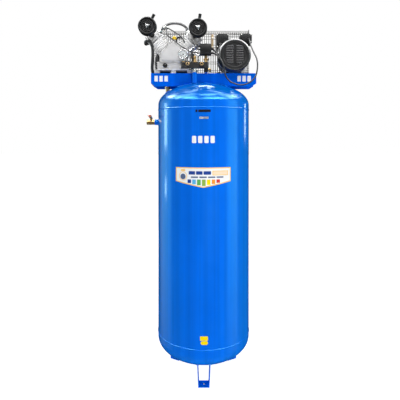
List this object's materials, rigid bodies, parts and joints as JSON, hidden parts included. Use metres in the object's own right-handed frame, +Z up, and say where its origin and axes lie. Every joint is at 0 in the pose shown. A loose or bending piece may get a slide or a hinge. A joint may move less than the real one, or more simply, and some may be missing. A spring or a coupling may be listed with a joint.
{
  "type": "vertical tank compressor",
  "caption": "Upright air receiver on three feet with a belt-driven V pump, electric motor, wire belt guard, pressure switch, gauge and outlet valve.",
  "frame": {"origin": "on the floor, on the tank axis", "axes": "+Z up along the tank axis, -Y towards the front (gauge and fan cowl), +X to the right seen from the front"},
  "size_m": [0.6527, 0.5209, 1.9941],
  "materials": {
    "blue_paint": "gloss",
    "deep_blue_paint": "gloss",
    "cast_aluminium": "sandcast, satin",
    "machined_aluminium": "turned",
    "steel": "machined",
    "zinc_steel": "zinc plated",
    "wire_steel": "bright zinc",
    "cast_iron_paint": "dark paint",
    "black_plastic": "textured",
    "black_paint": "semi-gloss",
    "brass": "machined",
    "red_plastic": "dipped",
    "belt_rubber": "matt",
    "cable_rubber": "satin",
    "yellow_zinc": "moulded",
    "chrome": "polished"
  },
  "bodies": {
    "root": {"tank_shell": "blue_paint", "top_head": "blue_paint", "bottom_head": "blue_paint", "front_leg": "blue_paint", "left_leg": "blue_paint", "right_leg": "blue_paint", "platform": "deep_blue_paint", "outlet_socket": "blue_paint", "outlet_valve_body": "brass", "drain_cock_body": "brass", "safety_valve": "brass", "data_plates": "machined_aluminium", "riser_pipe": "blue_paint", "check_valve": "brass", "crankcase": "cast_aluminium", "front_cover": "cast_aluminium", "sight_glass": "black_plastic", "filler_cap": "yellow_zinc", "crank_bearings": "steel", "left_cylinder": "cast_aluminium", "right_cylinder": "cast_aluminium", "valve_plates": "steel", "left_head": "cast_aluminium", "right_head": "cast_aluminium", "left_filter": "black_plastic", "right_filter": "black_plastic", "machine_bolts": "zinc_steel", "arch_pipe": "machined_aluminium", "discharge_pipe": "black_paint", "unloader_tubes": "black_plastic", "v_belt": "belt_rubber", "motor_body": "cast_aluminium", "motor_end_bells": "machined_aluminium", "fan_cowl": "black_plastic", "motor_boxes": "black_plastic", "belt_guard": "wire_steel", "guard_frame": "wire_steel", "pressure_switch": "black_plastic", "manifold": "black_paint", "service_outlets": "brass", "gauge": "chrome", "cables": "cable_rubber"},
    "outlet_handle": {"outlet_ball": "steel", "outlet_lever": "zinc_steel", "lever_grip": "red_plastic"},
    "drain_tap": {"drain_cock_tap": "brass"},
    "safety_pull": {"safety_ring": "chrome"},
    "crank": {"crankshaft": "steel", "flywheel": "cast_iron_paint"},
    "left_piston_group": {"left_rod": "cast_aluminium", "left_piston": "machined_aluminium", "left_pins": "steel"},
    "right_piston_group": {"right_rod": "cast_aluminium", "right_piston": "machined_aluminium", "right_pins": "steel"},
    "rotor": {"motor_rotor": "steel", "motor_fan": "black_plastic", "motor_pulley": "cast_iron_paint"},
    "switch_button": {"switch_knob": "black_plastic"},
    "needle": {"gauge_needle": "black_plastic"}
  },
  "joints": [
    {"name": "outlet_lever_turn", "type": "hinge", "parent": "root", "child": "outlet_handle", "pos_m": [-0.303, 0, 1.409], "axis": [0, 0, 1], "range_deg": [-90, 0]},
    {"name": "drain_tap_turn", "type": "hinge", "parent": "root", "child": "drain_tap", "pos_m": [0, 0, 0.05], "axis": [0, 1, 0], "range_deg": [0, 90]},
    {"name": "safety_ring_pull", "type": "slide", "parent": "root", "child": "safety_pull", "axis": [0, 0, 1], "range_m": [0, 0.003]},
    {"name": "crank_spin", "type": "hinge", "parent": "root", "child": "crank", "pos_m": [-0.17, 0, 1.774], "axis": [0, 1, 0], "continuous": true},
    {"name": "motor_spin", "type": "hinge", "parent": "root", "child": "rotor", "pos_m": [0.169, 0, 1.769], "axis": [0, 1, 0], "continuous": true},
    {"name": "left_piston_slide", "type": "slide", "parent": "root", "child": "left_piston_group", "axis": [-0.7071, 0, 0.7071], "range_m": [-0.03617, 0.00783]},
    {"name": "right_piston_slide", "type": "slide", "parent": "root", "child": "right_piston_group", "axis": [0.7071, 0, 0.7071], "range_m": [-0.03617, 0.00783]},
    {"name": "switch_pull", "type": "slide", "parent": "root", "child": "switch_button", "axis": [0, 0, 1], "range_m": [0, 0.006]},
    {"name": "gauge_sweep", "type": "hinge", "parent": "root", "child": "needle", "pos_m": [-0.112, -0.12, 1.776], "axis": [0, 1, 0], "range_deg": [0, 270]}
  ],
  "couplings": [
    {"joint": "motor_spin", "follows": "crank_spin", "ratio": 3.3056}
  ]
}
